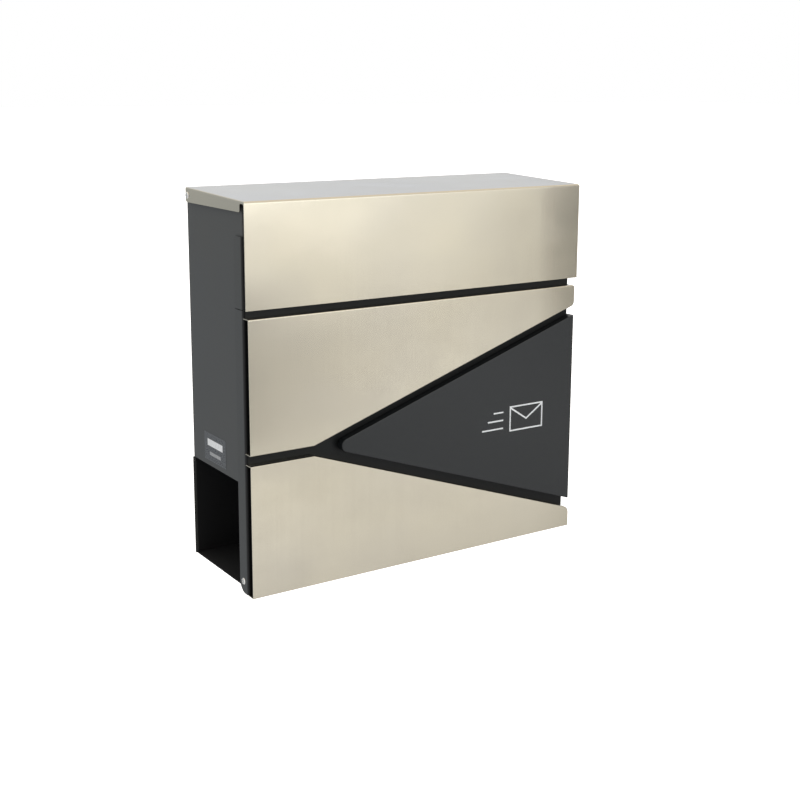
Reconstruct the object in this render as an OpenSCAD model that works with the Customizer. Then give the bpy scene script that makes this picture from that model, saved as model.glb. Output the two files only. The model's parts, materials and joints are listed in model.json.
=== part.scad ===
// Wall mounted mailbox, powder coated steel casing with brushed stainless
// fronts, a lift-up lid, a drop-down door and an open newspaper holder.
// Frame: origin at the centre of the four wall holes, on the wall plane.
// +Z is up, the wall is the plane Y = 0 and the front faces -Y.
// All dimensions are in millimetres.

/* [Overall size] */
// Width over the lid's side flanges
lid_w = 372; // [368:1:376]
// Depth from the wall to the steel fronts
box_depth = 124; // [122:1:128]
// Height from the lid's front top edge to the bottom of the door
box_h = 357.4; // [355:0.2:362]
// Height of the lid's front top edge above the centre of the wall holes
mount_drop = 130; // [120:1:140]

/* [Sheet metal] */
// Thickness of the stainless sheet
steel_t = 0.8; // [0.7:0.1:1]
// Thickness of the painted sheet
sheet_t = 1; // [0.9:0.1:1.1]

/* [Lid] */
// Height of the apron that hangs in front of the mail slot
apron_h = 94.3; // [92:0.1:96]
// Rise of the lid's top from its front edge to its rear edge
lid_rise = 4; // [3:0.5:5]
// Depth of the lid's side flanges below its front top edge
lid_flange_h = 9.7; // [9:0.1:11]
// Width of the relief slot between the apron and each side flange
relief_w = 7.6; // [6:0.2:9]
// Outer radius of the bend between the top and the apron
lid_bend_r = 2.4; // [2:0.2:3]
// Outer radius of the bends between the top and the side flanges
side_bend_r = 1.6; // [1.2:0.1:2]

/* [Door fronts] */
// Distance that the steel fronts stand ahead of the door's painted face
stand = 10; // [9:0.5:11]
// Width of the groove between the apron and the middle front
groove_top = 7.6; // [7:0.2:9]
// Height of the middle front at its left end
mid_h = 122.6; // [120:0.2:125]
// Distance from the middle of the box to the knee of both steel fronts
knee = 119.8; // [115:0.2:125]
// Height of the groove between the middle and the lower front
groove_mid = 9.3; // [8.5:0.1:10]
// Height of the middle front at its right end
mid_right_h = 20.5; // [18:0.5:24]
// Height of the lower front at its right end
low_right_h = 19.6; // [18:0.2:24]
// Groove between the steel fronts and the painted triangle, measured upright
tri_gap = 10; // [9:0.5:11]
// Radius of the middle front's upper right corner
corner_r = 2.8; // [2:0.2:4]
// Radius of the middle front's lower right corner
mid_low_r = 5.5; // [4:0.5:7]
// Radius of the lower front's upper right corner
low_up_r = 7.5; // [6:0.5:9]
// Radius of the triangle's pointed end
tip_r = 6.5; // [5:0.5:8]
// Outer radius of the upright bends at the ends of the door and of the plate above it
door_bend_r = 2.8; // [2:0.2:3]

/* [Casing] */
// Height of the newspaper opening
news_h = 96.5; // [90:0.5:98]
// Height of the mail slot's lower edge below the lid's front top edge
slot_drop = 31; // [29:0.5:33]
// Distance between the wall holes, side to side
hole_dx = 280; // [240:10:300]
// Distance between the wall holes, up and down
hole_dz = 130; // [100:10:150]
// Diameter of the wall holes
hole_d = 8; // [6:0.5:9]

/* [Hidden] */
$fn = 64;

powder = [0.28, 0.29, 0.30];
steel = [0.78, 0.75, 0.69];
zinc = [0.72, 0.73, 0.75];
black_rubber = [0.06, 0.06, 0.06];

// upright position of a height measured down from the lid's front top edge
function zz(d) = mount_drop - d;

// planes, front to back
y_front = -box_depth;               // steel fronts and apron
y_door = y_front + stand;           // painted door face
y_in = y_door + sheet_t;            // inside of the door sheet
y_side = y_in + 2;                  // front edge of the casing beside the door
y_flange = y_front + 26;            // rear edge of the door's side flanges
y_news = y_front + 27;              // front edge of the newspaper opening

// side planes
x_lid = lid_w / 2;                  // outside of the lid's flanges
x_door = x_lid - 2;                 // outside of the door's flanges
x_side = x_door - sheet_t - 0.4;    // outside of the casing sides
x_in = x_side - sheet_t;            // inside of the casing sides

// heights
z_apron = zz(apron_h);
z_slot = zz(slot_drop);
z_plate_bot = zz(apron_h + 0.6);
z_door_top = zz(apron_h + 1.2);
z_bot = zz(box_h);
z_tray_bot = z_bot + 5.1;                   // underside of the newspaper holder
z_floor = z_tray_bot + sheet_t + news_h;    // underside of the mail floor
slope = lid_rise / (box_depth - 4.4);
// height of the casing's top surface at a depth y
function z_cap(y) = zz(2.5) + slope * (y - y_front);

// pivots
lid_py = -8.4;
lid_pz = zz(3.4);
door_py = y_front + 18.5;
door_pz = z_bot + 11.4;
rivet_r = 2;
fit_gap = 0.05;

// lock
lock_z = zz(72);

// fronts, seen from the front: outlines as [x, z]
z_mid_t = zz(apron_h + groove_top);
z_mid_b = z_mid_t - mid_h;
z_low_t = z_mid_b - groove_mid;
k_x = -knee;
mid_pts = [[-x_door, z_mid_t], [-x_door, z_mid_b], [k_x, z_mid_b],
           [x_door, z_mid_t - mid_right_h], [x_door, z_mid_t]];
low_pts = [[-x_door, z_low_t], [-x_door, z_bot], [x_door, z_bot],
           [x_door, z_bot + low_right_h], [k_x, z_low_t]];
up_slope = (z_mid_t - mid_right_h - z_mid_b) / (x_door - k_x);
dn_slope = (z_bot + low_right_h - z_low_t) / (x_door - k_x);
tri_tip_u = (z_mid_b - tri_gap - z_low_t - tri_gap) / (dn_slope - up_slope);
tri_pts = [[k_x + tri_tip_u, z_mid_b - tri_gap + up_slope * tri_tip_u],
           [x_door, z_bot + low_right_h + tri_gap],
           [x_door, z_mid_t - mid_right_h - tri_gap]];

// stud places, as [x, z]
mid_studs = [[-158, zz(162)], [-40, zz(140)], [60, zz(128)], [158, zz(114)]];
low_studs = [[-158, zz(295)], [-40, zz(305)], [60, zz(326)], [158, zz(343)]];
tri_studs = [[-30, zz(230)], [152, zz(165)], [152, zz(300)]];
all_studs = concat(mid_studs, low_studs, tri_studs);

// ---------- outline functions ----------
function unit(v) = v / norm(v);
function cross2(a, b) = a[0] * b[1] - a[1] * b[0];
// meeting point of two lines, each a point and a direction
function meet(p, d, q, e) = p + d * (cross2(q - p, e) / cross2(d, e));
// inward normal of the edge i of an anticlockwise outline
function nrm(pts, i) = let (n = len(pts), d = unit(pts[(i + 1) % n] - pts[i])) [-d[1], d[0]];
// outline with edge i moved inward by dist[i]
function inset(pts, dist) = let (n = len(pts)) [for (i = [0:n - 1])
  let (j = (i + n - 1) % n)
  meet(pts[j] + nrm(pts, j) * dist[j], pts[i] - pts[j],
       pts[i] + nrm(pts, i) * dist[i], pts[(i + 1) % n] - pts[i])];
// corner c between a and b rounded with radius r in k steps
function corner(a, c, b, r, k) = r <= 0 ? [c] :
  let (u = unit(a - c), v = unit(b - c), h = acos(u * v) / 2,
       m = c + unit(u + v) * (r / sin(h)),
       s = c + u * (r / tan(h)) - m, t = c + v * (r / tan(h)) - m,
       sw = (cross2(s, t) > 0 ? 1 : -1) * (180 - 2 * h), a0 = atan2(s[1], s[0]))
  [for (i = [0:k]) m + r * [cos(a0 + sw * i / k), sin(a0 + sw * i / k)]];
function rounded(pts, rad, k = 6) = let (n = len(pts)) [for (i = [0:n - 1])
  for (p = corner(pts[(i + n - 1) % n], pts[i], pts[(i + 1) % n], rad[i], k)) p];

// ---------- helpers ----------
// an outline drawn in [x, z], made thick from y0 to y1
module upright(y0, y1) {
  translate([0, y1, 0]) rotate([90, 0, 0]) linear_extrude(height = y1 - y0) children();
}
// an outline drawn in [y, z], made thick from x0 to x1
module sideways(x0, x1) {
  translate([x0, 0, 0]) rotate([90, 0, 90]) linear_extrude(height = x1 - x0) children();
}
module block(x0, x1, y0, y1, z0, z1) {
  translate([x0, y0, z0]) cube([x1 - x0, y1 - y0, z1 - z0]);
}
// a rod along X, starting at x0
module rod_x(x0, x1, y, z, r) {
  translate([x0, y, z]) rotate([0, 90, 0]) cylinder(h = x1 - x0, r = r);
}
// a rod along Y
module rod_y(y0, y1, x, z, r, n = 64) {
  translate([x, y1, z]) rotate([90, 0, 0]) cylinder(h = y1 - y0, r = r, $fn = n);
}
module both_sides() {
  children();
  mirror([1, 0, 0]) children();
}

// plan view of a painted face with its side flanges bent back
module pan_outline() {
  r = door_bend_r;
  t = sheet_t;
  difference() {
    polygon(rounded([[-x_door, y_flange], [-x_door, y_door], [x_door, y_door], [x_door, y_flange]],
                    [0, r, r, 0]));
    polygon(rounded([[-x_door + t, y_flange + 1], [-x_door + t, y_in], [x_door - t, y_in], [x_door - t, y_flange + 1]],
                    [0, r - t, r - t, 0]));
  }
}
module pan(z0, z1) translate([0, 0, z0]) linear_extrude(height = z1 - z0) pan_outline();

// ---------- casing ----------
module casing_back() color(powder) difference() {
  union() {
    block(-x_side, x_side, -sheet_t, 0, z_floor, zz(8.5));
    block(-x_door, x_door, -sheet_t, 0, z_tray_bot, z_floor);
    // stiffening lip along the top edge
    block(-x_in + 0.1, x_in - 0.1, -6, -sheet_t, zz(8.5) - sheet_t, zz(8.5));
  }
  for (x = [-hole_dx / 2, hole_dx / 2], z = [-hole_dz / 2, hole_dz / 2])
    rod_y(-sheet_t - 1, 1, x, z, hole_d / 2);
}

// one side of the casing, on the +X side
module side_sheet() {
  difference() {
    union() {
      sideways(x_in, x_side) polygon([
        [-sheet_t, z_floor], [-sheet_t, zz(8.5)], [-5, zz(8.5)], [-5, z_cap(-5)],
        [y_in, z_cap(y_in)], [y_in, z_plate_bot], [y_side, z_plate_bot - 1.4],
        [y_side, door_pz], [door_py, door_pz], [door_py, z_tray_bot],
        [y_news, z_tray_bot], [y_news, z_floor]]);
      // rounded foot around the door pivot
      intersection() {
        rod_x(x_in, x_side, door_py, door_pz, 6.8);
        block(x_in, x_side, y_side, door_py + 1, z_tray_bot - 3, door_pz + 5);
      }
      // inward lips behind the fixed plate and behind the door
      block(x_in - 10, x_in, y_in, y_in + sheet_t, z_plate_bot + 1, z_slot - 2);
      block(x_in - 10, x_in, y_side, y_side + sheet_t, door_pz + 14, z_door_top - 2);
    }
    rod_x(x_in - 1, x_side + 1, lid_py, lid_pz, rivet_r + fit_gap);
    rod_x(x_in - 1, x_side + 1, door_py, door_pz, rivet_r + fit_gap);
    // rounded bend where the side turns in behind the plate
    translate([x_side - side_r, y_in + side_r, z_plate_bot - 3]) difference() {
      translate([0, -side_r - 1, 0]) cube([side_r + 1, side_r + 1, 140]);
      translate([0, 0, -1]) cylinder(h = 142, r = side_r);
    }
  }
}
side_r = 1.8;   // outer radius of the casing sides' front bends
module casing_side_right() color(powder) side_sheet();
module casing_side_left() color(powder) mirror([1, 0, 0]) side_sheet();

module casing_top() color(powder) {
  w = x_in - 0.1;
  sideways(-w, w) polygon([
    [y_in + 0.1, z_cap(y_in) - 5], [y_in + 0.1 + sheet_t, z_cap(y_in) - 5],
    [y_in + 0.1 + sheet_t, z_cap(y_in + 1) - sheet_t], [-5, z_cap(-5) - sheet_t],
    [-5, z_cap(-5)], [y_in + 0.1, z_cap(y_in)]]);
  // rear lip that stands on the back sheet's top lip
  block(-x_in + 6, x_in - 6, -5 - sheet_t, -5, zz(8.5), z_cap(-5.5) - sheet_t / 2);
}

module newspaper_channel() color([0.10, 0.10, 0.11]) difference() {
  w = x_in - 0.05;
  z0 = z_tray_bot;
  union() {
    // floor of the mail compartment
    block(-w, w, y_news, -sheet_t, z_floor, z_floor + sheet_t);
    // front wall
    block(-w, w, y_news, y_news + sheet_t, z0, z_floor + sheet_t);
    // bottom
    block(-x_side, x_side, y_news + 0.01, -sheet_t, z0, z0 + sheet_t);
    // rear wall, with a lip above the floor of the mail compartment
    block(-w, w, -2 * sheet_t, -sheet_t, z0, z_floor + 12);
  }
  // drain holes
  for (x = [-120, 0, 120])
    translate([x, -30, z0 - 1]) cylinder(h = sheet_t + 2, r = 3);
}

module upper_front_plate() color(powder) difference() {
  union() {
    difference() {
      pan(z_plate_bot, z_slot);
      // rounded rear top corners
      both_sides() difference() {
        block(x_door - sheet_t - 1, x_door + 1, y_flange - 6, y_flange + 1, z_slot - 6, z_slot + 1);
        rod_x(x_door - sheet_t - 2, x_door + 2, y_flange - 6, z_slot - 6, 6);
      }
    }
    // safe edge below the mail slot
    block(-x_in + 12, x_in - 12, y_in, y_in + 8, z_slot - sheet_t, z_slot);
  }
  rod_y(y_door - 1, y_in + 1, 0, lock_z, 9.5);
}

module lock_housing() color(zinc) difference() {
  union() {
    rod_y(y_door - 2, y_door, 0, lock_z, 11);
    rod_y(y_door, y_door + 18, 0, lock_z, 9.4);
  }
  rod_y(y_door - 3, y_door + 19, 0, lock_z, 7 + fit_gap);
}

module lock_nut() color(zinc) difference() {
  translate([0, y_in + 4, lock_z]) rotate([90, 0, 0]) cylinder(h = 4, r = 13.5, $fn = 6);
  rod_y(y_in - 1, y_in + 5, 0, lock_z, 9.45);
}

module door_bumpers() color(black_rubber)
  for (x = [-x_in + 5, x_in - 5], z = [zz(112), zz(325)])
    rod_y(y_side - 1.6, y_side, x, z, 4);

module lid_bumpers() color(black_rubber)
  for (x = [-150, 150])
    translate([0, -100, z_cap(-100)]) rotate([atan(slope), 0, 0])
      translate([x, 0, 0.01]) cylinder(h = 1.4, r = 4);

module blank_label() color([0.18, 0.19, 0.20])
  block(-x_side - 0.15, -x_side, y_front + 53, y_front + 99, zz(250), zz(223));

// white print on the label: an empty field, a plain bar and a thin border
module label_print() color("white") {
  x = -x_side - 0.15;
  y0 = y_front + 53; y1 = y_front + 99; z0 = zz(250); z1 = zz(223);
  block(x - 0.05, x, y0 + 7, y0 + 39, z1 - 12.5, z1 - 6);
  block(x - 0.05, x, y0 + 11.5, y0 + 34.5, z1 - 21.2, z1 - 18);
  difference() {
    block(x - 0.05, x, y0 + 0.6, y1 - 0.6, z0 + 0.6, z1 - 0.6);
    block(x - 1, x + 1, y0 + 1.1, y1 - 1.1, z0 + 1.1, z1 - 1.1);
  }
}

// ---------- lid ----------
// side view of the lid, filled down to the apron's lower edge, d inside its skin
module lid_side_view(d) {
  rear = -4.4 + (d > 0 ? 5 : 0);
  a = atan(slope);
  r = lid_bend_r;
  c = [y_front + r, zz(0) + slope * r - r / cos(a)];
  q = r - d;
  z1 = z_apron - (d > 0 ? 1 : 0);
  polygon([[y_front + d, z1], [rear, z1],
           [rear, zz(0) + slope * (rear - y_front) - d / cos(a)],
           [c[0] - q * sin(a), c[1] + q * cos(a)], c, [y_front + d, c[1]]]);
  translate(c) circle(r = q);
}
// front view of the lid with its rounded upper side bends, run along the slope
module lid_front_view(d) {
  r = side_bend_r - d;
  w = x_lid - d;
  translate([0, y_front, zz(0)]) rotate([atan(slope), 0, 0])
    translate([0, 140, 0]) rotate([90, 0, 0]) linear_extrude(height = 150) {
      polygon([[-w, -130], [w, -130], [w, -side_bend_r], [w - r, -side_bend_r],
               [w - r, -d], [-w + r, -d], [-w + r, -side_bend_r], [-w, -side_bend_r]]);
      for (x = [-w + r, w - r]) translate([x, -side_bend_r]) circle(r = r);
    }
}
module lid() color(steel) {
  rear = -4.4;
  t = steel_t;
  zf = zz(lid_flange_h);
  y0 = y_front + t;
  y1 = y0 + relief_w;
  difference() {
    intersection() {
      sideways(-x_lid, x_lid) lid_side_view(0);
      lid_front_view(0);
    }
    intersection() {
      sideways(-x_lid, x_lid) lid_side_view(t);
      lid_front_view(t);
    }
    both_sides() {
      // below the side flanges
      block(x_lid - t - 0.2, x_lid + 1, y0, rear + 1, z_apron - 1, zf);
      // relief slot with a rounded upper end
      block(x_lid - t - 0.2, x_lid + 1, y0, y1, z_apron - 1, zz(4.3));
      block(x_lid - t - 0.2, x_lid + 1, y0 + 2, y1 - 2, zz(5), zz(2.3));
      for (y = [y0 + 2, y1 - 2]) rod_x(x_lid - t - 0.2, x_lid + 1, y, zz(4.3), 2);
      // rounded lower corners of the flanges
      difference() {
        block(x_lid - t - 0.2, x_lid + 1, rear - 3, rear + 1, zf - 1, zf + 3);
        rod_x(x_lid - t - 1, x_lid + 2, rear - 3, zf + 3, 3);
      }
      difference() {
        block(x_lid - t - 0.2, x_lid + 1, y1 - 1, y1 + 2, zf - 1, zf + 2);
        rod_x(x_lid - t - 1, x_lid + 2, y1 + 2, zf + 2, 2);
      }
    }
    rod_x(-x_lid - 1, x_lid + 1, lid_py, lid_pz, rivet_r + fit_gap);
  }
}

// blind rivet with its head outside at x_out and its bulb inside at x_bulb
module pivot_rivet(x_out, x_bulb, y, z) {
  rod_x(x_bulb, x_out + 0.3, y, z, rivet_r);
  translate([x_out, y, z]) rotate([0, 90, 0]) difference() {
    rotate_extrude() polygon([[0, 0], [3.1, 0], [3.1, 0.3], [2.6, 0.9], [1.6, 1.25], [0, 1.25]]);
    translate([0, 0, 0.95]) cylinder(h = 1, r = 0.9);
  }
  rod_x(x_bulb - 2, x_bulb, y, z, 2.7);
}
module lid_pivot_rivets() color(zinc) both_sides()
  pivot_rivet(x_lid, x_in - 0.1, lid_py, lid_pz);
module lid_pivot_spacers() color([0.85, 0.84, 0.80]) both_sides() difference() {
  rod_x(x_side + 0.05, x_lid - steel_t - 0.02, lid_py, lid_pz, 4);
  rod_x(x_side - 1, x_lid + 1, lid_py, lid_pz, rivet_r + 0.02);
}

// ---------- door ----------
module door_shell() color(powder) difference() {
  union() {
    difference() {
      pan(z_bot, z_door_top);
      // rounded lower rear corners
      both_sides() difference() {
        block(x_door - sheet_t - 1, x_door + 1, y_flange - 10, y_flange + 1, z_bot - 1, z_bot + 10);
        rod_x(x_door - sheet_t - 2, x_door + 2, y_flange - 10, z_bot + 10, 10);
      }
    }
    // stiffening lip along the top edge
    block(-170, 170, y_in, y_in + 9, z_door_top - sheet_t, z_door_top);
  }
  for (s = all_studs) rod_y(y_door - 1, y_in + 1, s[0], s[1], 2.25);
  rod_x(-x_door - 1, x_door + 1, door_py, door_pz, rivet_r + fit_gap);
}

// folded front: a face with walls that reach back to the door
module folded_front(pts, rad, walls, t, y0) {
  irad = [for (r = rad) r > t ? r - t : 0];
  difference() {
    upright(y0, y_door - 0.05) polygon(rounded(pts, rad));
    upright(y0 + t, y_door + 1) polygon(rounded(inset(pts, walls), irad));
  }
}
module middle_front() color(steel)
  folded_front(mid_pts, [0, 0, 0, mid_low_r, corner_r],
               [-5, steel_t, steel_t, steel_t, steel_t], steel_t, y_front);
module lower_front() color(steel)
  folded_front(low_pts, [0, 0, 0.5, low_up_r, 0],
               [-5, steel_t, steel_t, steel_t, steel_t], steel_t, y_front);
module triangle_front() color([0.25, 0.27, 0.29])
  folded_front(tri_pts, [tip_r, 0.8, 0.8], [sheet_t, sheet_t, sheet_t], sheet_t, y_front + 0.5);

// printed envelope with three bars, centred on the triangle's wide end
module envelope_mark() color("white") {
  x0 = 104; x1 = 146; z0 = zz(244); z1 = zz(218); w = 1.5;
  y = y_front + 0.5;
  upright(y - 0.12, y) {
    difference() {
      polygon([[x0, z0], [x1, z0], [x1, z1], [x0, z1]]);
      polygon([[x0 + w, z0 + w], [x1 - w, z0 + w], [x1 - w, z1 - w], [x0 + w, z1 - w]]);
    }
    intersection() {
      polygon([[x0, z0], [x1, z0], [x1, z1], [x0, z1]]);
      union() {
        polygon([[x0, z1], [x0, z1 - 1.3 * w], [(x0 + x1) / 2, z1 - 15 - 0.6 * w],
                 [x1, z1 - 1.3 * w], [x1, z1], [(x0 + x1) / 2, z1 - 15 + 0.7 * w]]);
      }
    }
    for (i = [0:2])
      translate([x0 - 8 - 26 + i * 7, z0 + 4 + i * 8.2]) square([26 - i * 7, w]);
  }
}

module front_studs() color(zinc) {
  for (s = concat(mid_studs, low_studs)) rod_y(y_front + steel_t, y_in + 7, s[0], s[1], 2, 32);
  for (s = tri_studs) rod_y(y_front + 0.5 + sheet_t, y_in + 7, s[0], s[1], 2, 32);
}
module front_nuts() color(zinc) for (s = all_studs) difference() {
  translate([s[0], y_in + 3.2, s[1]]) rotate([90, 0, 0]) cylinder(h = 3.2, r = 4.04, $fn = 6);
  rod_y(y_in - 1, y_in + 4, s[0], s[1], 2.05, 32);
}

// strap inside the door that the cam turns behind
module lock_keeper() color(zinc) sideways(-16, 16) polygon([
  [y_in, zz(132)], [y_in + 1.5, zz(132)], [y_in + 1.5, zz(115.5)],
  [y_in + 16, zz(115.5)], [y_in + 16, zz(99)], [y_in + 14.5, zz(99)],
  [y_in + 14.5, zz(114)], [y_in, zz(114)]]);

module door_pivot_rivets() color(zinc) both_sides()
  pivot_rivet(x_door, x_in - 0.6, door_py, door_pz);
module door_pivot_washers() color([0.85, 0.84, 0.80]) both_sides() difference() {
  rod_x(x_in - 0.55, x_in - 0.05, door_py, door_pz, 4);
  rod_x(x_in - 2, x_in + 1, door_py, door_pz, rivet_r + 0.02);
}

// ---------- lock ----------
y_cam = y_door + 18.5;
module lock_plug() color([0.80, 0.68, 0.40]) difference() {
  union() {
    rod_y(y_door - 2.3, y_cam, 0, lock_z, 7);
    block(-3.5, 3.5, y_cam, y_cam + 2, lock_z - 3.5, lock_z + 3.5);
  }
  // keyway
  block(-1.1, 1.1, y_door - 3, y_door + 8, lock_z - 4.5, lock_z + 4.5);
  rod_y(y_cam - 6, y_cam + 3, 0, lock_z, 2.05);
}
// cam, drawn unlocked: it points along +X
module lock_cam() color(zinc) difference() {
  union() {
    rod_y(y_cam, y_cam + 2, 0, lock_z, 8);
    block(0, 36, y_cam, y_cam + 2, lock_z - 6, lock_z + 6);
  }
  block(-3.55, 3.55, y_cam - 1, y_cam + 3, lock_z - 3.55, lock_z + 3.55);
}
module cam_screw() color(zinc) {
  rod_y(y_cam - 5.5, y_cam + 2.05, 0, lock_z, 2, 32);
  difference() {
    rod_y(y_cam + 2.05, y_cam + 4.2, 0, lock_z, 4.5);
    block(-0.5, 0.5, y_cam + 3.2, y_cam + 5, lock_z - 3, lock_z + 3);
    block(-3, 3, y_cam + 3.2, y_cam + 5, lock_z - 0.5, lock_z + 0.5);
  }
}

casing_back();
casing_side_left();
casing_side_right();
casing_top();
newspaper_channel();
upper_front_plate();
lock_housing();
lock_nut();
door_bumpers();
lid_bumpers();
blank_label();
label_print();
lid();
lid_pivot_rivets();
lid_pivot_spacers();
door_shell();
middle_front();
lower_front();
triangle_front();
envelope_mark();
front_studs();
front_nuts();
lock_keeper();
door_pivot_rivets();
door_pivot_washers();
lock_plug();
lock_cam();
cam_screw();
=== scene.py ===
import json
import math

import bmesh
import bpy
from mathutils import Matrix, Vector

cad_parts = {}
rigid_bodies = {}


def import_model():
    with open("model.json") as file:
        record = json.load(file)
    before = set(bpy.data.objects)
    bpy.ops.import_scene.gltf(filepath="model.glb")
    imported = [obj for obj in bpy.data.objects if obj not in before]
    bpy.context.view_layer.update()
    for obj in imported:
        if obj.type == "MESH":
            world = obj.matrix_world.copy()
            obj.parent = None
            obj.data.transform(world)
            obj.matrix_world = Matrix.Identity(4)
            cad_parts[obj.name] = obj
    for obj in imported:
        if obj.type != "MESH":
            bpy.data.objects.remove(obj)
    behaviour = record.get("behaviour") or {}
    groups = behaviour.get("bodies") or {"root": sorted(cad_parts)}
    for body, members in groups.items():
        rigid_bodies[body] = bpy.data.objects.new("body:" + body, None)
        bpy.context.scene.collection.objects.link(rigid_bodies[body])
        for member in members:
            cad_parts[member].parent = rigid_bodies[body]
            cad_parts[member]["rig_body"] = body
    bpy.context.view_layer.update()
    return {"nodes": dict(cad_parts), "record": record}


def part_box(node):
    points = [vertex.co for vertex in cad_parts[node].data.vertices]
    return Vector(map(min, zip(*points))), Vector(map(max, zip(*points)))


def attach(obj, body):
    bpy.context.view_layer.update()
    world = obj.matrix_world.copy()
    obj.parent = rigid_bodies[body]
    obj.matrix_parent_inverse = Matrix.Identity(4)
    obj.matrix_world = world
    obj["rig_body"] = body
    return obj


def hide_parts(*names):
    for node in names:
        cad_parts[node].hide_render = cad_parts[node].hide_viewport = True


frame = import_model()
scene = bpy.context.scene
MM = 0.001

# ---------------------------------------------------------------- camera
# Position in the row frame (mm), heading towards +X, downward tilt, roll, and focal
# length over the width of the 800 x 800 frame.
SHIFT = -0.08
CAM = {
    "pos": Vector((-672.0, -1107.5, 232.9)) * MM,
    "yaw": 33.23, "pitch": 11.31, "roll": 0.248, "f": 1289.5,
}
cam_data = bpy.data.cameras.new("camera")
cam_data.sensor_fit = "HORIZONTAL"
cam_data.sensor_width = 36.0
cam_data.lens = CAM["f"] / 800.0 * 36.0
cam_data.shift_y = SHIFT
cam_data.clip_start = 0.01
cam_data.clip_end = 100
cam = bpy.data.objects.new("camera", cam_data)
scene.collection.objects.link(cam)
yaw, pitch, roll = (math.radians(CAM[k]) for k in ("yaw", "pitch", "roll"))
fwd = Vector((math.sin(yaw) * math.cos(pitch), math.cos(yaw) * math.cos(pitch), -math.sin(pitch)))
right = Vector((math.cos(yaw), -math.sin(yaw), 0))
up = right.cross(fwd)
r2 = math.cos(roll) * right + math.sin(roll) * up
u2 = -math.sin(roll) * right + math.cos(roll) * up
rot = Matrix((r2, u2, -fwd)).transposed()
cam.matrix_world = Matrix.Translation(CAM["pos"]) @ rot.to_4x4()
scene.camera = cam
scene.view_settings.view_transform = "Standard"
scene.view_settings.look = "None"
scene.view_settings.exposure = 0.0
scene.view_settings.gamma = 1.0


# ---------------------------------------------------------------- materials
class Graph:
    """A small helper to lay out shader nodes."""

    def __init__(self, name):
        self.mat = bpy.data.materials.new(name)
        self.mat.use_nodes = True
        self.t = self.mat.node_tree
        self.t.nodes.clear()
        self.out = self.t.nodes.new("ShaderNodeOutputMaterial")
        self.bsdf = self.t.nodes.new("ShaderNodeBsdfPrincipled")
        self.t.links.new(self.bsdf.outputs[0], self.out.inputs[0])
        self.coord = self.t.nodes.new("ShaderNodeTexCoord")

    def node(self, kind, **kw):
        n = self.t.nodes.new(kind)
        for k, v in kw.items():
            setattr(n, k, v)
        return n

    def link(self, a, b):
        self.t.links.new(a, b)

    def set(self, **kw):
        for k, v in kw.items():
            self.bsdf.inputs[k.replace("_", " ")].default_value = v

    def mapping(self, source, scale=(1, 1, 1), loc=(0, 0, 0), rot=(0, 0, 0)):
        m = self.node("ShaderNodeMapping")
        m.inputs["Scale"].default_value = scale
        m.inputs["Location"].default_value = loc
        m.inputs["Rotation"].default_value = rot
        self.link(source, m.inputs["Vector"])
        return m.outputs[0]

    def noise(self, vector, scale, detail=3.0, rough=0.55, dist=0.0):
        n = self.node("ShaderNodeTexNoise")
        n.inputs["Scale"].default_value = scale
        n.inputs["Detail"].default_value = detail
        n.inputs["Roughness"].default_value = rough
        n.inputs["Distortion"].default_value = dist
        self.link(vector, n.inputs["Vector"])
        return n.outputs[0]

    def ramp(self, fac, stops, interp="LINEAR"):
        r = self.node("ShaderNodeValToRGB")
        r.color_ramp.interpolation = interp
        els = r.color_ramp.elements
        while len(els) < len(stops):
            els.new(0.5)
        for e, (p, c) in zip(els, stops):
            e.position = p
            e.color = (*c, 1) if len(c) == 3 else c
        self.link(fac, r.inputs[0])
        return r.outputs[0]

    def math(self, op, a, b=None, c=None, clamp=False):
        m = self.node("ShaderNodeMath", operation=op, use_clamp=clamp)
        for i, v in enumerate((a, b, c)):
            if v is None:
                continue
            if isinstance(v, (int, float)):
                m.inputs[i].default_value = v
            else:
                self.link(v, m.inputs[i])
        return m.outputs[0]

    def maprange(self, v, a, b, c, d):
        m = self.node("ShaderNodeMapRange")
        for i, x in enumerate((a, b, c, d)):
            m.inputs[i + 1].default_value = x
        self.link(v, m.inputs[0])
        return m.outputs[0]

    def mix(self, fac, a, b, blend="MIX"):
        m = self.node("ShaderNodeMix", data_type="RGBA", blend_type=blend)
        for sock, v in ((m.inputs[0], fac), (m.inputs[6], a), (m.inputs[7], b)):
            if isinstance(v, (int, float)):
                sock.default_value = v
            elif isinstance(v, tuple):
                sock.default_value = (*v, 1) if len(v) == 3 else v
            else:
                self.link(v, sock)
        return m.outputs[2]

    def bump(self, height, strength, distance, normal=None):
        b = self.node("ShaderNodeBump")
        b.inputs["Strength"].default_value = strength
        b.inputs["Distance"].default_value = distance
        self.link(height, b.inputs["Height"])
        if normal is not None:
            self.link(normal, b.inputs["Normal"])
        return b.outputs[0]


def scaled(c, k):
    return tuple(min(1.0, x * k) for x in c)


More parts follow.
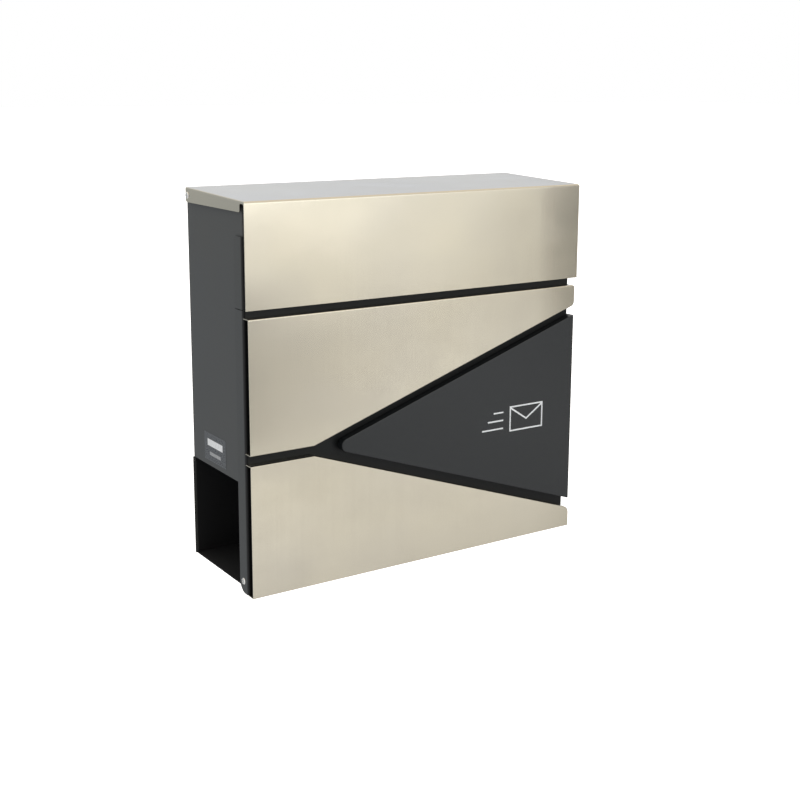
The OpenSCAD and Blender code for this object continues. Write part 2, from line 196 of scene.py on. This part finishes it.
def stainless(name, base, rough=0.22, sides_along_y=False):
    """Brushed stainless. The grain runs up the fronts and turns over the bends with the sheet:
    back along Y on upper faces. On the sides it runs along Y for the lid, upright for the fronts."""
    g = Graph(name)
    obj = g.coord.outputs["Object"]
    nor = g.node("ShaderNodeSeparateXYZ")
    g.link(g.coord.outputs["Normal"], nor.inputs[0])
    pos = g.node("ShaderNodeSeparateXYZ")
    g.link(obj, pos.inputs[0])
    nx, ny, nz = nor.outputs
    px, py, pz = pos.outputs
    side = g.math("ABSOLUTE", nx)
    # the way the grain runs, in the object's own axes
    if sides_along_y:
        gy, gz = g.math("ADD", nz, side), g.math("MULTIPLY", ny, -1.0)
    else:
        gy, gz = nz, g.math("SUBTRACT", side, ny)
    grain = g.node("ShaderNodeCombineXYZ")
    g.link(gy, grain.inputs[1])
    g.link(gz, grain.inputs[2])
    cross = g.node("ShaderNodeVectorMath", operation="CROSS_PRODUCT")
    g.link(grain.outputs[0], cross.inputs[0])
    g.link(g.coord.outputs["Normal"], cross.inputs[1])
    world_t = g.node("ShaderNodeVectorTransform", vector_type="VECTOR", convert_from="OBJECT", convert_to="WORLD")
    g.link(cross.outputs[0], world_t.inputs[0])
    g.link(world_t.outputs[0], g.bsdf.inputs["Tangent"])
    # where a point lies across the grain and along it
    is_side = g.math("GREATER_THAN", side, 0.7)
    not_side = g.math("SUBTRACT", 1.0, is_side)
    other = pz if sides_along_y else py
    across = g.math("ADD", g.math("MULTIPLY", px, not_side), g.math("MULTIPLY", other, is_side))
    along = g.math("SUBTRACT", pz, py)
    if sides_along_y:
        along = g.math("SUBTRACT", g.math("MULTIPLY", pz, not_side), py)
    comb = g.node("ShaderNodeCombineXYZ")
    g.link(across, comb.inputs[0])
    g.link(along, comb.inputs[2])
    sheet = comb.outputs[0]
    fine = g.noise(g.mapping(sheet, scale=(3200, 1, 30)), 1.0, 2.0, 0.6)
    broad = g.noise(g.mapping(sheet, scale=(520, 1, 6), loc=(3.1, 0, 1.7)), 1.0, 2.0, 0.5)
    cloud = g.noise(g.mapping(obj, scale=(7, 7, 9)), 1.0, 2.0, 0.5)
    smudge = g.noise(g.mapping(obj, scale=(24, 24, 34), loc=(5, 2, 9)), 1.0, 4.0, 0.6)
    tone = g.math("ADD", g.math("MULTIPLY", fine, 0.08), g.math("MULTIPLY", broad, 0.05))
    tone = g.math("ADD", tone, g.math("MULTIPLY", cloud, 0.08))
    tone = g.math("ADD", tone, 0.895)
    hue = g.mix(g.maprange(cloud, 0.3, 0.7, 0.0, 1.0), scaled(base, 0.98), (base[0] * 1.02, base[1] * 1.01, base[2] * 0.97))
    col = g.node("ShaderNodeVectorMath", operation="SCALE")
    g.link(hue, col.inputs[0])
    g.link(tone, col.inputs["Scale"])
    g.link(col.outputs[0], g.bsdf.inputs["Base Color"])
    r = g.math("ADD", g.math("MULTIPLY", fine, 0.08), g.math("MULTIPLY", smudge, 0.10))
    g.link(g.math("ADD", r, rough - 0.09), g.bsdf.inputs["Roughness"])
    g.set(Metallic=1.0, Anisotropic=0.70)
    # the sheet isn't dead flat: long, very shallow waves, and a slight fall towards its right-hand bend
    wave = g.noise(g.mapping(obj, scale=(5, 5, 7), loc=(1, 4, 2)), 1.0, 1.0, 0.4)
    b1 = g.bump(wave, 0.10, 0.02)
    fall = g.math("POWER", g.maprange(px, 0.135, 0.187, 0.0, 1.0), 2.0)
    b2 = g.bump(g.math("MULTIPLY", fall, -1.0), 1.0, 0.0022, b1)
    height = g.math("ADD", fine, g.math("MULTIPLY", broad, 0.6))
    g.link(g.bump(height, 0.10, 0.0002, b2), g.bsdf.inputs["Normal"])
    return g.mat


def powder(name, base, rough=0.52, texture=1.0, front=None, gloss=0.5):
    """Powder coat: a fine pebbled skin with a soft sheen, slightly uneven in tone. Faces
    that don't look sideways take the front colour, if one is given; that colour is painted
    shade, a darker copy of the same paint for the forward faces and the grooves."""
    g = Graph(name)
    obj = g.coord.outputs["Object"]
    fine = g.noise(obj, 2400, 2.0, 0.6)
    peel = g.noise(obj, 520, 3.0, 0.55)
    cloud = g.noise(obj, 9, 3.0, 0.5)
    spec = g.noise(g.mapping(obj, loc=(7, 3, 1)), 3800, 1.0, 0.5)
    k = g.math("ADD", g.math("MULTIPLY", cloud, 0.16), g.math("MULTIPLY", fine, 0.22))
    k = g.math("ADD", k, 0.81)
    hue = g.mix(g.maprange(cloud, 0.35, 0.65, 0.0, 1.0), base, (base[0] * 1.05, base[1] * 1.02, base[2] * 0.96))
    hue = g.mix(g.maprange(spec, 0.62, 0.70, 0.0, 0.35), hue, scaled(base, 1.9))
    # painted shade: faces that don't look sideways get the darker front colour instead of the paint's own
    if front:
        nor = g.node("ShaderNodeSeparateXYZ")
        g.link(g.coord.outputs["Normal"], nor.inputs[0])
        side = g.maprange(g.math("ABSOLUTE", nor.outputs[0]), 0.82, 0.998, 0.0, 1.0)
        hue = g.mix(side, front, hue)
    col = g.node("ShaderNodeVectorMath", operation="SCALE")
    g.link(hue, col.inputs[0])
    g.link(k, col.inputs["Scale"])
    g.link(col.outputs[0], g.bsdf.inputs["Base Color"])
    g.link(g.math("ADD", g.math("MULTIPLY", cloud, 0.10), rough - 0.05), g.bsdf.inputs["Roughness"])
    g.set(Metallic=0.0, Specular_IOR_Level=gloss)
    h = g.math("ADD", g.math("MULTIPLY", fine, 0.4), peel)
    g.link(g.bump(h, 0.22 * texture, 0.0003), g.bsdf.inputs["Normal"])
    return g.mat


def plain_metal(name, base, rough=0.3, scale=900, bump=0.1):
    g = Graph(name)
    obj = g.coord.outputs["Object"]
    n = g.noise(obj, scale, 3.0, 0.6)
    c = g.noise(obj, scale / 12, 3.0, 0.55)
    g.link(g.mix(g.maprange(c, 0.3, 0.7, 0, 1), scaled(base, 0.86), scaled(base, 1.08)), g.bsdf.inputs["Base Color"])
    g.link(g.maprange(n, 0.3, 0.7, rough - 0.07, rough + 0.10), g.bsdf.inputs["Roughness"])
    g.set(Metallic=1.0)
    g.link(g.bump(n, bump, 0.0001), g.bsdf.inputs["Normal"])
    return g.mat


def plain_soft(name, base, rough=0.6, scale=700, bump=0.12, var=0.15):
    g = Graph(name)
    obj = g.coord.outputs["Object"]
    n = g.noise(obj, scale, 3.0, 0.6)
    c = g.noise(obj, scale / 15, 2.0, 0.5)
    g.link(g.mix(g.maprange(c, 0.3, 0.7, 0, 1), scaled(base, 1 - var), scaled(base, 1 + var)), g.bsdf.inputs["Base Color"])
    g.link(g.maprange(n, 0.3, 0.7, rough - 0.06, rough + 0.08), g.bsdf.inputs["Roughness"])
    g.link(g.bump(n, bump, 0.0001), g.bsdf.inputs["Normal"])
    return g.mat


STEEL = (0.655, 0.606, 0.502)
M = {
    "stainless": stainless("stainless_front", STEEL),
    "stainless_lid": stainless("stainless_lid", STEEL, sides_along_y=True),
    "powder_coat": powder("powder_coat", (0.055, 0.058, 0.0595)),
    # the door's paint, with a near-black front colour: painted shade on its forward faces and in the grooves between
    # the steel fronts
    "powder_coat_door": powder("powder_coat_door", (0.058, 0.061, 0.0625), rough=0.42, front=(0.0045, 0.005, 0.0056), gloss=0.26),
    # a much darker copy of the casing's powder coat, for the painted triangle: painted shade on its forward faces
    "powder_coat_front": powder("powder_coat_front", (0.0090, 0.0112, 0.0130), rough=0.26),
    # a near-black copy of the powder coat for the faces inside the box: painted shade in its hollows
    "powder_coat_inside": powder("powder_coat_inside", (0.0035, 0.0038, 0.0048), rough=0.65),
    "zinc": plain_metal("zinc_plate", (0.60, 0.62, 0.66), 0.32),
    "rivet_metal": plain_metal("rivet_metal", (0.82, 0.81, 0.78), 0.24),
    "lock_chrome": plain_metal("lock_chrome", (0.80, 0.80, 0.82), 0.12, bump=0.03),
    "lock_brass": plain_metal("lock_brass", (0.78, 0.62, 0.32), 0.25),
    "bumper_rubber": plain_soft("bumper_rubber", (0.02, 0.02, 0.021), 0.75),
    "nylon": plain_soft("nylon", (0.72, 0.70, 0.64), 0.5, var=0.05),
    "white_print": plain_soft("white_print", (0.86, 0.88, 0.90), 0.5, var=0.04),
    "label_film": plain_soft("label_film", (0.070, 0.074, 0.080), 0.28, bump=0.02, var=0.03),
}


def worn_print(name):
    """White ink on the label: full on the upper field, thinner on the bar and the border."""
    g = Graph(name)
    obj = g.coord.outputs["Object"]
    pos = g.node("ShaderNodeSeparateXYZ")
    g.link(obj, pos.inputs[0])
    n = g.noise(obj, 420, 3.0, 0.6)
    dy = g.math("ABSOLUTE", g.math("ADD", pos.outputs[1], 0.048))
    dz = g.math("ABSOLUTE", g.math("ADD", pos.outputs[2], 0.1065))
    border = g.math("MAXIMUM", g.math("GREATER_THAN", dy, 0.0215), g.math("GREATER_THAN", dz, 0.0122))
    bar = g.math("LESS_THAN", pos.outputs[2], -0.108)
    col = g.mix(g.maprange(n, 0.35, 0.65, 0.0, 1.0), (0.70, 0.71, 0.72), (0.80, 0.81, 0.82))
    col = g.mix(bar, col, g.mix(g.maprange(n, 0.35, 0.65, 0.0, 1.0), (0.30, 0.305, 0.31), (0.38, 0.385, 0.39)))
    col = g.mix(border, col, (0.115, 0.12, 0.125))
    g.link(col, g.bsdf.inputs["Base Color"])
    g.set(Roughness=0.45)
    g.link(g.bump(n, 0.1, 0.0001), g.bsdf.inputs["Normal"])
    return g.mat


M["label_print"] = worn_print("label_print")
slot_of = {s["node"]: s["material_slot"] for s in frame["record"]["subparts"]}


def material_for(node):
    s = slot_of[node]
    if node == "lid":
        return M["stainless_lid"]
    # the door and the upper plate take the paint with painted shade on their forward faces
    if node in ("door_shell", "upper_front_plate"):
        return M["powder_coat_door"]
    if node == "label_print":
        return M["label_print"]
    return M[s]


# ---------------------------------------------------------------- pieces
def clean_bmesh(node):
    """The node's CAD mesh, welded and with its flat faces whole, ready for edge work."""
    bm = bmesh.new()
    bm.from_mesh(frame["nodes"][node].data)
    bmesh.ops.remove_doubles(bm, verts=bm.verts, dist=1e-6)
    bmesh.ops.dissolve_limit(bm, angle_limit=math.radians(0.4), verts=bm.verts, edges=bm.edges,
                             delimit=set())
    return bm


def finish_piece(bm, name, node, body, mat=None, angle=28):
    bmesh.ops.recalc_face_normals(bm, faces=bm.faces)
    me = bpy.data.meshes.new(name)
    bm.to_mesh(me)
    bm.free()
    ob = bpy.data.objects.new(name, me)
    scene.collection.objects.link(ob)
    me.materials.append(mat or material_for(node))
    for p in me.polygons:
        p.use_smooth = True
    me.set_sharp_from_angle(angle=math.radians(angle))
    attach(ob, body)
    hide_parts(node)
    return ob


def soften(node, width, segments=2, choose=None, extra=None):
    """A copy of a CAD node whose edges are rounded, which stands for that node.
    extra is a list of (chooser, width, segments) done first for special edges."""
    bm = clean_bmesh(node)
    for pick, w, seg in extra or []:
        es = [e for e in bm.edges if pick(e)]
        if es:
            bmesh.ops.bevel(bm, geom=es, offset=w, offset_type="OFFSET", segments=seg, profile=0.5,
                            affect="EDGES", clamp_overlap=True)
    es = [e for e in bm.edges if len(e.link_faces) == 2 and e.calc_face_angle(0) > math.radians(35)
          and (choose is None or choose(e))]
    if es and width > 0:
        bmesh.ops.bevel(bm, geom=es, offset=width, offset_type="OFFSET", segments=segments, profile=0.5,
                        affect="EDGES", clamp_overlap=True)
    ob = finish_piece(bm, node + "_piece", node, frame["nodes"][node]["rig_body"])
    mod = ob.modifiers.new("normals", "WEIGHTED_NORMAL")
    mod.keep_sharp = True
    return ob


def on_y(y, tol=3e-5):
    return lambda e: all(abs(v.co.y - y) < tol for v in e.verts)


def outer_front_edges(node):
    """Edges round the outside of a folded front's face, apart from its raw left end."""
    lo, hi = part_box(node)
    y = lo.y
    left = lo.x

    def pick(e):
        if not all(abs(v.co.y - y) < 3e-5 for v in e.verts):
            return False
        if len(e.link_faces) != 2 or e.calc_face_angle(0) < math.radians(60):
            return False
        if node != "triangle_front" and all(abs(v.co.x - left) < 3e-5 for v in e.verts):
            return False
        return True
    return pick


def lid_bends(e):
    """The lid's bends along the outer edges of its top."""
    lo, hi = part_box("lid")
    return (all(abs(v.co.z - hi.z) < 3e-5 for v in e.verts) and len(e.link_faces) == 2
            and e.calc_face_angle(0) > math.radians(50))


for n in ("middle_front", "lower_front"):
    soften(n, 0.00012, 1, extra=[(outer_front_edges(n), 0.0011, 5)])
soften("triangle_front", 0.0002, 1, extra=[(outer_front_edges("triangle_front"), 0.0014, 5)])
soften("lid", 0.00012, 1, extra=[(lid_bends, 0.0006, 4)])
for n in ("door_shell", "upper_front_plate"):
    soften(n, 0.00025, 2)
for n in ("casing_side_left", "casing_side_right", "casing_back", "casing_top", "newspaper_channel"):
    soften(n, 0.0002, 2)

for n, ob in frame["nodes"].items():
    if ob.hide_render:
        continue
    ob.data.materials.clear()
    ob.data.materials.append(material_for(n))

# ---------------------------------------------------------------- stage
floor_z = -0.75
bm = bmesh.new()
bmesh.ops.create_grid(bm, x_segments=8, y_segments=8, size=40.0)
me = bpy.data.meshes.new("floor")
bm.to_mesh(me)
bm.free()
floor = bpy.data.objects.new("floor", me)
floor.location = (0, 0, floor_z)
scene.collection.objects.link(floor)
gf = Graph("floor_pale")
nf = gf.noise(gf.coord.outputs["Object"], 1.5, 2.0, 0.5)
gf.link(gf.mix(nf, (0.90, 0.90, 0.90), (0.94, 0.94, 0.94)), gf.bsdf.inputs["Base Color"])
gf.link(gf.mix(nf, (0.97, 0.97, 0.97), (1.0, 1.0, 1.0)), gf.bsdf.inputs["Emission Color"])
gf.set(Roughness=0.9, Emission_Strength=0.80)
me.materials.append(gf.mat)
floor.visible_glossy = False
floor.visible_diffuse = False
floor.visible_shadow = False

# The studio: a white surround for the camera, and for everything else a soft tent of light,
# laid out as panels by azimuth and elevation (degrees; azimuth 0 is in front, 90 at +X).
world = bpy.data.worlds.new("studio")
scene.world = world
world.use_nodes = True
wt = world.node_tree
wt.nodes.clear()


def wnode(kind, **kw):
    n = wt.nodes.new(kind)
    for k, v in kw.items():
        setattr(n, k, v)
    return n


def wmath(op, a, b=None, c=None):
    m = wnode("ShaderNodeMath", operation=op)
    for i, v in enumerate((a, b, c)):
        if v is None:
            continue
        if isinstance(v, (int, float)):
            m.inputs[i].default_value = v
        else:
            wt.links.new(v, m.inputs[i])
    return m.outputs[0]


def step(v, edge, soft):
    """0 below the edge, 1 above it, smooth over soft degrees to either side."""
    m = wnode("ShaderNodeMapRange", interpolation_type="SMOOTHSTEP")
    for k, x in (("From Min", edge - soft), ("From Max", edge + soft), ("To Min", 0.0), ("To Max", 1.0)):
        m.inputs[k].default_value = x
    wt.links.new(v, m.inputs["Value"])
    return m.outputs[0]


w_coord = wnode("ShaderNodeTexCoord")
w_sep = wnode("ShaderNodeSeparateXYZ")
wt.links.new(w_coord.outputs["Generated"], w_sep.inputs[0])
w_az = wmath("MULTIPLY", wmath("ARCTAN2", w_sep.outputs[0], wmath("MULTIPLY", w_sep.outputs[1], -1.0)), 180 / math.pi)
w_el = wmath("MULTIPLY", wmath("ARCSINE", w_sep.outputs[2]), 180 / math.pi)

# what the steel fronts look into: a window wall over a table edge
AZ_EDGES = (4, 20, 27, 33, 39, 47, 62)
EL_EDGES = (30, 6, -4, -8.5, -12.5, -17, -23, -36)
FRONT = (
    (1.99, 2.05, 1.85, 1.33, 0.79, 0.52),
    (2.36, 2.71, 2.54, 1.61, 0.65, 0.38),
    (1.63, 1.95, 1.56, 0.89, 0.23, 0.34),
    (0.06, 0.09, 0.89, 1.35, 0.66, 0.27),
    (0.14, 0.07, 0.93, 1.63, 1.26, 0.80),
    (1.26, 1.35, 1.04, 0.84, 0.77, 0.70),
    (0.99, 0.80, 0.42, 0.23, 0.28, 0.35),
)
az_steps = [step(w_az, e, 2.5) for e in AZ_EDGES]
el_steps = [step(w_el, e, 2.0) for e in EL_EDGES]
az_bands = [wmath("SUBTRACT", p, q) for p, q in zip(az_steps, az_steps[1:])]
el_bands = [wmath("SUBTRACT", q, p) for p, q in zip(el_steps, el_steps[1:])]
w_front = 0.0
for band, row in zip(el_bands, FRONT):
    across = 0.0
    for part, v in zip(az_bands, row):
        across = wmath("MULTIPLY_ADD", part, v, across)
    w_front = wmath("MULTIPLY_ADD", band, across, w_front)
w_comb = wnode("ShaderNodeCombineXYZ")
for i in range(3):
    wt.links.new(w_front, w_comb.inputs[i])
w_sum = w_comb.outputs[0]

# the rest of the room: azimuth from, to, elevation from, to, softness of each, colour
ROOM = (
    (-181, 181, 30, 91, 4, 6, (1.03, 0.97, 0.90)),        # overhead
    (100, 181, -4, 30, 5, 4, (0.76, 0.80, 0.88)),         # behind, right
    (-181, -100, -4, 36, 5, 4, (0.50, 0.53, 0.55)),       # behind, left
    (-181, -100, -36, -4, 5, 4, (0.43, 0.455, 0.475)),
    (-100, -40, -36, 30, 5, 5, (1.15, 1.15, 1.15)),          # fill from the left
    (-40, 4, -36, 30, 4, 5, (0.05, 0.05, 0.05)),
    (62, 100, -36, 30, 5, 5, (0.05, 0.05, 0.05)),
    (100, 136, -36, -4, 5, 4, (0.25, 0.25, 0.25)),        # dark strip that the right-hand bends look into
    (136, 181, -36, -4, 5, 4, (1.85, 1.85, 1.85)),
    (-181, 181, -91, -36, 4, 5, (0.83, 0.83, 0.84)),      # from below
    (70, 142, -84, -36, 6, 5, (-0.77, -0.77, -0.78)),     # dark patch that the lower bends look into
    (4, 27, -4, 30, 2.5, 2, (-0.05, 0.09, 0.05)),         # the brightest part is a little green
)
for a0, a1, e0, e1, sa, se, colour in ROOM:
    band = wmath("SUBTRACT", step(w_el, e0, se), step(w_el, e1, se))
    if a1 - a0 < 360:
        low = 1.0 if a0 < -180 else step(w_az, a0, sa)
        high = 0.0 if a1 > 180 else step(w_az, a1, sa)
        band = wmath("MULTIPLY", band, wmath("SUBTRACT", low, high))
    c = wnode("ShaderNodeVectorMath", operation="SCALE")
    c.inputs[0].default_value = colour
    wt.links.new(band, c.inputs["Scale"])
    total = wnode("ShaderNodeVectorMath", operation="ADD")
    wt.links.new(w_sum, total.inputs[0])
    wt.links.new(c.outputs[0], total.inputs[1])
    w_sum = total.outputs[0]

bg_tent = wnode("ShaderNodeBackground")
wt.links.new(w_sum, bg_tent.inputs[0])
bg_tent.inputs[1].default_value = 1.0
bg_white = wnode("ShaderNodeBackground")
bg_white.inputs[0].default_value = (1, 1, 1, 1)
bg_white.inputs[1].default_value = 1.0
w_path = wnode("ShaderNodeLightPath")
w_mix = wnode("ShaderNodeMixShader")
wt.links.new(w_path.outputs["Is Camera Ray"], w_mix.inputs[0])
wt.links.new(bg_tent.outputs[0], w_mix.inputs[1])
wt.links.new(bg_white.outputs[0], w_mix.inputs[2])
w_out = wnode("ShaderNodeOutputWorld")
wt.links.new(w_mix.outputs[0], w_out.inputs[0])
